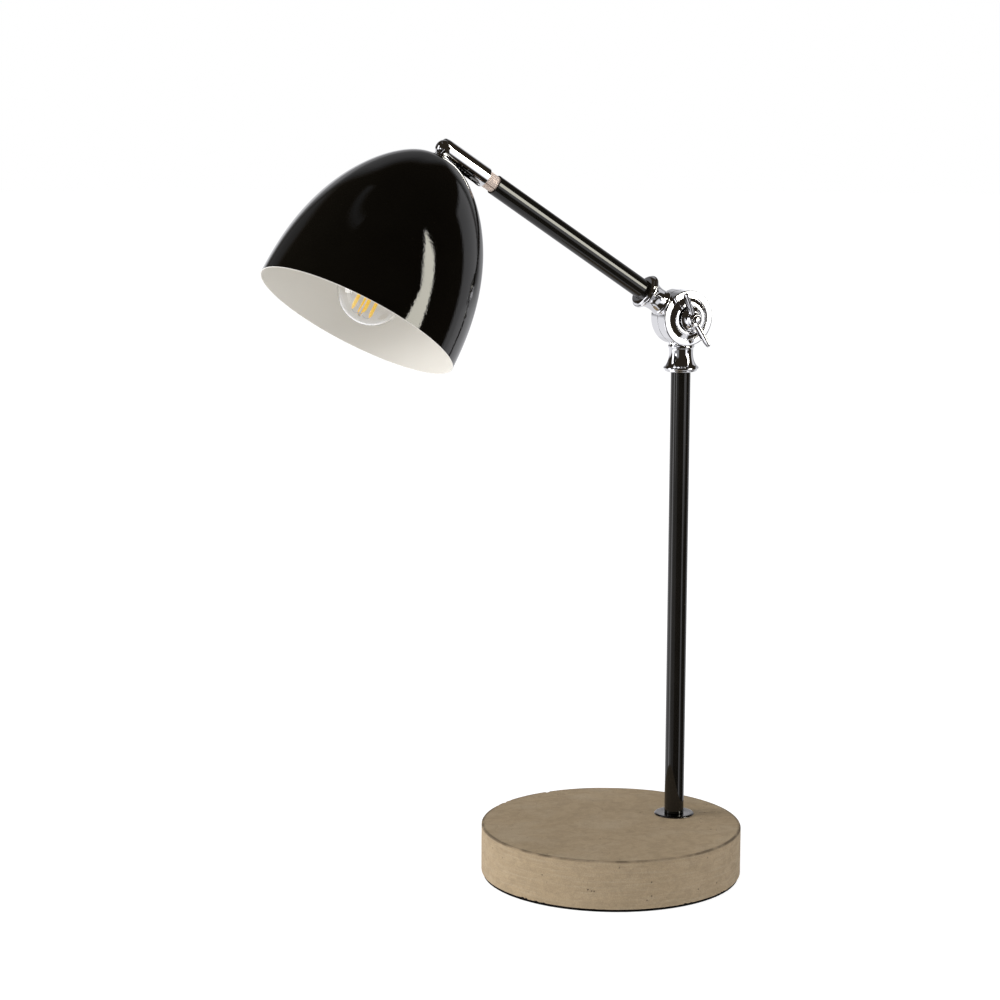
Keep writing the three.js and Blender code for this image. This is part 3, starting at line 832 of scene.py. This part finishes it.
def shade_shell():
    """The spun dome: black outside, white inside."""
    crown, rim, radius = extent("shade_shell", SHADE)

    def skin(share, inset):
        """The wall at a share of the depth, from the rim up to the crown."""
        fullness = (1 - share ** CURVE_IN) ** (1 / CURVE_OUT)
        r = CROWN_FLAT_R + (radius - CROWN_FLAT_R) * fullness - inset
        return Vector((r, rim - (rim - crown - inset) * share))

    shares = [math.sin(math.pi / 2 * i / SHADE_STEPS) for i in range(1, SHADE_STEPS + 1)]
    outside = [skin(share, 0) for share in shares]
    inside = [skin(share, SHADE_WALL) for share in reversed(shares)]
    hole = [Vector((STEM_HOLE_R, crown)), Vector((STEM_HOLE_R, crown + SHADE_WALL))]
    edge = rounded([(radius - 0.02, rim - 0.4), (radius, rim, 0.35),
                    (radius - SHADE_WALL, rim, 0.35), (radius - SHADE_WALL, rim - 0.4)])
    shell = turned("shade_spinning", outside + hole + inside + edge[::-1], 192)

    def white_side(face):
        below = face.normal.z > 0.2 and face.center.z > crown + SHADE_WALL * 0.5
        return below or faces_axis(face)

    place(shell, SHADE, "shade", ["shade_shell"], "black_enamel", [gloss_black(), warm_white()],
          second=white_side)


def stem_flange():
    low, high, radius = extent("stem_flange", SHADE)
    corners = [(STEM_HOLE_R, low), (6.4, low, 0.4), (radius, low + 0.5, 0.5),
               (radius, high, 0.3), (STEM_HOLE_R, high)]
    flange = turned("crown_flange", rounded(corners), 128)
    place(flange, SHADE, "shade", ["stem_flange"], "chrome", chrome())


CAP_WALL = 3.4
BARREL_FLOOR = (43.6, 45.5)
GRIPS = 36
GRIP_PRESS = 0.018  # depth of a grip's groove, as a share of the radius


def holder_cap(plastic):
    """The holder's domed upper half."""
    low, split, radius = extent("holder_cap", SHADE)
    lip, inner = radius - 0.35, 11.8
    corners = [(STEM_HOLE_R, low), (8.5, low, 1.0), (11.5, low + 2, 1.6),
               (radius, low + 5.7, 2.2), (radius, split - 2.2, 0.3), (lip, split - 1.8, 0.2),
               (lip, split), (inner, split), (inner, low + 6.2), (10, low + CAP_WALL),
               (STEM_HOLE_R, low + CAP_WALL)]
    cap = turned("lampholder_cap", rounded(corners), 128)
    place(cap, SHADE, "shade", ["holder_cap"], "white_plastic", plastic)


def holder_barrel(plastic):
    """The holder's lower half: a sleeve with grips, open to the bulb, with a floor inside."""
    _, end, radius = extent("holder_barrel", SHADE)
    start = extent("holder_cap", SHADE)[1] + 0.3
    bore, wire_hole, waist = 9, 3, radius - 0.5
    floor_low, floor_high = BARREL_FLOOR
    corners = [(bore, floor_high), (wire_hole, floor_high), (wire_hole, floor_low),
               (bore, floor_low), (11.5, start), (radius, start, 0.3), (radius, start + 2.4, 0.3),
               (waist, start + 2.9, 0.3), (waist, end - 4, 0.4), (radius, end - 3.4, 0.4),
               (radius, end, 0.9), (bore, end, 0.5)]
    barrel = turned("lampholder_barrel", rounded(corners), 128)
    for vertex in barrel.data.vertices:
        p = vertex.co
        if start + 3 < p.z < end - 4 and math.hypot(p.x, p.y) > radius - 1:
            groove = 0.5 + 0.5 * math.cos(GRIPS * math.atan2(p.y, p.x))
            p.x *= 1 - GRIP_PRESS * groove
            p.y *= 1 - GRIP_PRESS * groove
    place(barrel, SHADE, "shade", ["holder_barrel"], "white_plastic", plastic)


def holder_thread(metal):
    """A rolled sheet-metal thread: a thin sleeve whose wall waves along its length."""
    low, high, mouth = extent("holder_screw_shell", SHADE)
    middle, swing, pitch, half_wall = 8.0, 0.28, 2.8, 0.2
    steps = int((high - low) * 5)
    outside, inside = [], []
    for i in range(steps + 1):
        z = low + (high - low) * i / steps
        r = middle + swing * math.sin(2 * math.pi * z / pitch)
        outside.append(Vector((r + half_wall, z)))
        inside.append(Vector((r - half_wall, z)))
    outside[-1].x = mouth
    inside[-1].x = mouth - 2 * half_wall
    thread = turned("lampholder_thread", outside + inside[::-1], 96)
    place(thread, SHADE, "shade", ["holder_screw_shell"], "brass", metal)


def lampholder():
    plastic, metal = white_plastic(), brass()
    holder_cap(plastic)
    holder_barrel(plastic)
    holder_thread(metal)


# ---- Bulb ----
# Heights here run along the shade's axis, from the middle of the swivel's ball
GLOBE_Z = 105.5
GLOBE_FIRST = 136  # degrees from the top of the globe to where the neck takes over
GLASS_NECK = [(7.6, 73), (7.65, 76), (8.2, 79.4), (9.2, 81.8), (10.6, 84.1), (12.4, 86.1)]
GLASS_WALL = 0.8
FILAMENTS = 4
FILAMENT_RING_R = 6.3
STICK_R = 1.1
STICK_END_R = 0.62
WIRE_R = 0.22


def globe_wall(inset, radius):
    """The glass from its neck to the top of the globe, moved in by inset."""
    wall = [Vector((r - inset, z)) for r, z in GLASS_NECK]
    reach = radius - inset
    steps = 40
    for i in range(steps):
        angle = math.radians(GLOBE_FIRST) * (1 - i / steps)
        wall.append(Vector((reach * math.sin(angle), GLOBE_Z + reach * math.cos(angle))))
    return wall + [Vector((0, GLOBE_Z + reach))]


def bulb_glass(glass):
    radius = extent("bulb_glass", SHADE)[2]
    outline = globe_wall(0, radius) + globe_wall(GLASS_WALL, radius)[::-1]
    envelope = turned("bulb_envelope", outline, 128)
    place(envelope, SHADE, "shade", ["bulb_glass"], "clear_glass", glass, sharp=60)


def bulb_cap():
    """The rolled screw cap, and the skirt above it that holds the glass."""
    bore, radius, skirt_r, skirt_bore = 6.3, 6.9, 8.3, 7.9
    low, high, skirt_end = 54.6, 71.0, 76
    pitch, steps = 2.82, 84
    thread = []
    for i in range(1, steps):
        z = low + (high - low) * i / steps
        thread.append((6.85 + 0.15 * math.sin(2 * math.pi * z / pitch), z))
    corners = [(bore, low), (radius, low, 0.2), *thread, (radius, high), (skirt_r, 72.6, 0.5),
               (skirt_r, skirt_end, 0.3), (skirt_bore, skirt_end), (skirt_bore, 72.7), (bore, 71.4)]
    cap = turned("bulb_screw_cap", rounded(corners, 4), 112)
    place(cap, SHADE, "shade", ["bulb_cap"], "brushed_nickel", satin_nickel())


def bulb_foot():
    """The black insulator under the cap, and the contact at its tip."""
    vitrite_corners = [(0, 51.8), (3.2, 51.8, 0.4), (5.6, 53.1, 0.9), (6.5, 54.3, 0.3), (0, 54.3)]
    insulator = turned("bulb_vitrite", rounded(vitrite_corners), 96)
    place(insulator, SHADE, "shade", ["bulb_insulator"], "black_insulator", vitrite())
    tip_corners = [(0, 49.9), (1.4, 50.0, 0.6), (2.4, 50.8, 0.6), (2.4, 51.6, 0.2), (0, 51.6)]
    tip = turned("bulb_tip_contact", rounded(tip_corners), 72)
    place(tip, SHADE, "shade", ["bulb_contact"], "steel", zinc_steel())


def bulb_stem(glass):
    _, high, _ = extent("bulb_stem", SHADE)
    corners = [(0, 73), (5.5, 73, 0.4), (3.9, 76.5, 2), (2.2, 82, 3), (1.5, 88, 2), (0.9, 91.5, 1),
               (0.9, 116), (1.35, 118.5, 1), (1.2, high - 1.4, 0.6), (0, high, 0.6)]
    stem = turned("bulb_glass_stem", rounded(corners, 8), 72)
    place(stem, SHADE, "shade", ["bulb_stem"], "clear_glass", glass, sharp=60)


def filament_spot(index, z, radius):
    turn_by = math.radians(14) + 2 * math.pi * index / FILAMENTS
    return Vector((radius * math.cos(turn_by), radius * math.sin(turn_by), z))


def support_wire(index, end, away, stem_r):
    """A wire that arches from a stick's end to the stem. away is 1 upwards and -1 downwards."""
    steps = 12
    path = []
    for k in range(steps + 1):
        t = k / steps
        rise = math.sin(math.pi * t) * 1.1 + 0.35
        radius = FILAMENT_RING_R + (stem_r - FILAMENT_RING_R) * t
        path.append(filament_spot(index, end + away * rise, radius))
    return swept("wire", path, WIRE_R)


def filaments():
    """The LED sticks, and the fine wires that hold them to the stem at both ends."""
    yellow, steel = phosphor(), zinc_steel()
    low, high, _ = extent("filament_1", SHADE)
    corners = [(0, low), (STICK_END_R, low, 0.1), (STICK_END_R, low + 1.1),
               (STICK_R, low + 1.5, 0.4), (STICK_R, high - 1.5, 0.4),
               (STICK_END_R, high - 1.1), (STICK_END_R, high, 0.1), (0, high)]
    wires = []
    for i in range(FILAMENTS):
        name = f"filament_{i + 1}"
        stick = turned("led_" + name, rounded(corners, 4), 24)
        where = filament_spot(i, 0, FILAMENT_RING_R)
        place(shift(stick, where.x, where.y), SHADE, "shade", [name], "phosphor", yellow)
        wires.append(support_wire(i, high, away=1, stem_r=1.0))
        wires.append(support_wire(i, low, away=-1, stem_r=1.2))
    support = joined("bulb_support_wires", wires)
    place(support, SHADE, "shade", ["filament_ring_low", "filament_ring_high"], "steel", steel)


# ---- Hidden hardware keeps its CAD shape ----
def finish_hardware():
    steel, metal = zinc_steel(), brass()
    looks = {
        "foot_threaded_tube": steel, "foot_washer": steel, "foot_lock_washer": steel,
        "foot_nut": steel, "spring_washer": steel, "ball_spring": steel,
        "shade_lock_washer": steel, "shade_nut": steel, "friction_disc": fibre(),
        "ball_seat": metal, "holder_contact": metal,
    }
    for node, look in looks.items():
        mesh = frame["nodes"][node].data
        mesh.materials.clear()
        mesh.materials.append(look)


# ---- Studio, in metres ----
SKY_LIGHT = 0.42
FLOOR_RADIUS = 7.0
FLOOR_Z = -0.0003  # just under the felt
DOME_RADIUS = 25.0
DOME_Z = 0.35  # near the elbow's height
# What the polished pieces mirror: azimuth (0 is the front, 90 the right), half width, lowest and
# highest elevation, softness of the edges, all in degrees, and brightness
PANELS = [
    (22, 7.5, -30, -2, 3.5, 1.3),  # low card, front right
    (33, 10, -10, -4, 1.5, 1.25),  # its upper end, under the strip
    (34, 14, -58, -18, 4.0, 0.8),  # the table it lies on
    (98, 14.5, -26, 27, 2.0, 0.62),  # grey card, right
    (148, 30, -30, 28, 5.0, 0.55),  # backdrop
    (152, 26, 20, 52, 7.0, 0.24),  # its upper part
    (158, 18, -20, 16, 4.0, 1.1),  # its lit part
    (-165, 25, -40, 0, 4.0, 0.85),  # its foot, behind on the left
    (-168, 12, 8, 34, 5.0, 0.13),  # its edge
    (-110, 8, -30, 34, 2.0, 2.4),  # softbox, left
    (-80, 6, -9, 12, 1.5, 2.4),  # its edge
    (-98, 20, -42, -17, 3.0, 2.2),  # the table under it
    (-72, 20, -30, 10, 5.0, 0.28),  # its spill
    (-118, 48, 66, 73, 3.0, 0.16),  # overhead diffuser
    (180, 90, -90, -8, 4.0, 0.75),  # the table behind
    (0, 180, -90, -67, 3.0, 0.75),  # the table below
]
PANEL_TINT = (0.97, 0.97, 1.0)
ROOM = 0.024  # the unlit room, seen between the panels
ROOM_TINT = (1.0, 0.78, 0.56)
STRIP_AZIMUTH = 40.6
STRIP_POWER = 11.8
STRIP_TINT = (1.0, 0.97, 0.84)


def white_world():
    """White behind the lamp, and soft light of its own strength on everything that isn't a mirror."""
    world = bpy.data.worlds.new("studio_white")
    bpy.context.scene.world = world
    world.use_nodes = True
    world.cycles_visibility.glossy = False
    tree = world.node_tree
    background = tree.nodes["Background"]
    path = tree.nodes.new("ShaderNodeLightPath")
    strength = tree.nodes.new("ShaderNodeMapRange")
    tree.links.new(path.outputs["Is Camera Ray"], strength.inputs["Value"])
    strength.inputs["To Min"].default_value = SKY_LIGHT
    strength.inputs["To Max"].default_value = 1.0
    background.inputs["Color"].default_value = rgb(1, 1, 1)
    tree.links.new(strength.outputs[0], background.inputs["Strength"])


def panel_light(look, azimuth, elevation, panel):
    """One soft-edged panel's brightness in a direction."""
    centre, half, low, high, soft, power = panel
    turned_by = look.math("WRAP", look.math("SUBTRACT", azimuth, centre), 180, -180)
    mask = look.span(look.math("ABSOLUTE", turned_by), half + soft, half - soft)
    mask = look.math("MULTIPLY", mask, look.span(elevation, low - soft, low + soft))
    mask = look.math("MULTIPLY", mask, look.span(elevation, high + soft, high - soft))
    return look.math("MULTIPLY", mask, power)


def strip_light(look, azimuth, elevation):
    """The tall strip at the front right: pointed at the top, its foot wider and to the left."""
    foot = look.span(elevation, 13, -6, 0, 9.5)
    centre = look.math("SUBTRACT", STRIP_AZIMUTH, foot)
    tip_half = look.span(elevation, 43, 25, 0, 5.6)
    half = look.math("ADD", tip_half, look.span(elevation, 13, -3, 0, 6))
    aside = look.math("ABSOLUTE", look.math("SUBTRACT", azimuth, centre))
    inside = look.span(look.math("SUBTRACT", half, aside), -0.5, 0.5)
    inside = look.math("MULTIPLY", inside, look.span(elevation, -7, -4))
    return look.math("MULTIPLY", inside, look.span(elevation, 44, 40))


def studio_reflections():
    """A dark room with lit panels, as a glow that depends on the direction from the lamp."""
    look = Look("studio_reflections", {})
    place_on_dome = look.node("TexCoord", {}, "Object")
    direction = look.node("VectorMath", {0: place_on_dome}, operation="NORMALIZE")
    x, y, z = look.node("SeparateXYZ", {"Vector": direction}).node.outputs
    degrees = 180 / math.pi
    heading = look.math("ARCTAN2", x, look.math("MULTIPLY", y, -1.0))
    azimuth = look.math("MULTIPLY", heading, degrees)
    elevation = look.math("MULTIPLY", look.math("ARCSINE", z), degrees)
    light = ROOM
    for panel in PANELS:
        light = look.math("MAXIMUM", light, panel_light(look, azimuth, elevation, panel))
    strip = strip_light(look, azimuth, elevation)
    light = look.math("MAXIMUM", light, look.math("MULTIPLY", strip, STRIP_POWER))
    tint = look.mix(look.span(light, ROOM, 0.12), rgb(*ROOM_TINT), rgb(*PANEL_TINT))
    tint = look.mix(strip, tint, rgb(*STRIP_TINT))
    emission = look.node("Emission", {"Color": tint, "Strength": light})
    output = look.tree.nodes["Material Output"]
    look.tree.links.new(emission, output.inputs["Surface"])
    look.material.cycles.emission_sampling = "NONE"
    return look.material


def staged(name, mesh, height, material):
    """Scenery made from a bmesh, at a height in metres."""
    scenery = new_object(name, [], [])
    mesh.to_mesh(scenery.data)
    mesh.free()
    scenery.location.z = height
    scenery.data.materials.append(material)
    return scenery


def reflection_dome():
    """A sphere round the lamp that only mirror reflections see."""
    mesh = bmesh.new()
    bmesh.ops.create_uvsphere(mesh, u_segments=64, v_segments=32, radius=DOME_RADIUS)
    dome = staged("reflection_dome", mesh, DOME_Z, studio_reflections())
    dome.visible_camera = False
    dome.visible_diffuse = False
    dome.visible_transmission = False
    dome.visible_volume_scatter = False
    dome.visible_shadow = False


def pale_floor():
    look = Look("pale_floor", {"Base Color": rgb(0.3, 0.3, 0.3), "Roughness": 1.0,
                               "Specular IOR Level": 0.0, "Emission Color": rgb(1, 1, 1),
                               "Emission Strength": 0.9})
    mesh = bmesh.new()
    bmesh.ops.create_circle(mesh, cap_ends=True, segments=96, radius=FLOOR_RADIUS)
    floor = staged("pale_floor", mesh, FLOOR_Z, look.material)
    floor.visible_glossy = False


def soft_light(name, azimuth, elevation, distance, size, power):
    """A soft rectangle that lights the lamp but doesn't show in its polished pieces."""
    light = bpy.data.lights.new(name, "AREA")
    light.shape = "RECTANGLE"
    light.size, light.size_y = size
    light.energy = power
    lamp = bpy.data.objects.new(name, light)
    bpy.context.scene.collection.objects.link(lamp)
    a, e = math.radians(azimuth), math.radians(elevation)
    towards = Vector((math.sin(a) * math.cos(e), -math.cos(a) * math.cos(e), math.sin(e)))
    lamp.location = Vector((0, 0, 0.2)) + towards * distance
    lamp.rotation_mode = "QUATERNION"
    lamp.rotation_quaternion = towards.to_track_quat("Z", "Y")
    lamp.visible_glossy = False


def studio():
    bpy.context.scene.view_settings.view_transform = "Standard"
    white_world()
    pale_floor()
    reflection_dome()
    soft_light("key_left", -111, 16, 2.2, (1.2, 1.2), 34)
    soft_light("strip_right", 52, 24, 2.4, (0.3, 1.6), 3)
    soft_light("overhead", -70, 72, 2.0, (1.4, 1.0), 12)


# ---- The lamp ----
photo_camera()
felt_pad()
concrete_base()
cable_grommet()
foot_plate()
tube("pole_enamelled", "pole_tube", POLE, "stand")
tube("arm_enamelled", "arm_tube", ARM, "arm")
elbow_castings()
thrust_washer()
pivot_bolt()
wing_nut()
swivel_collar()
swivel_sleeve()
swivel_ball()
shade_shell()
stem_flange()
lampholder()
bulb_material = clear_glass()
bulb_glass(bulb_material)
bulb_stem(bulb_material)
bulb_cap()
bulb_foot()
filaments()
finish_hardware()
studio()
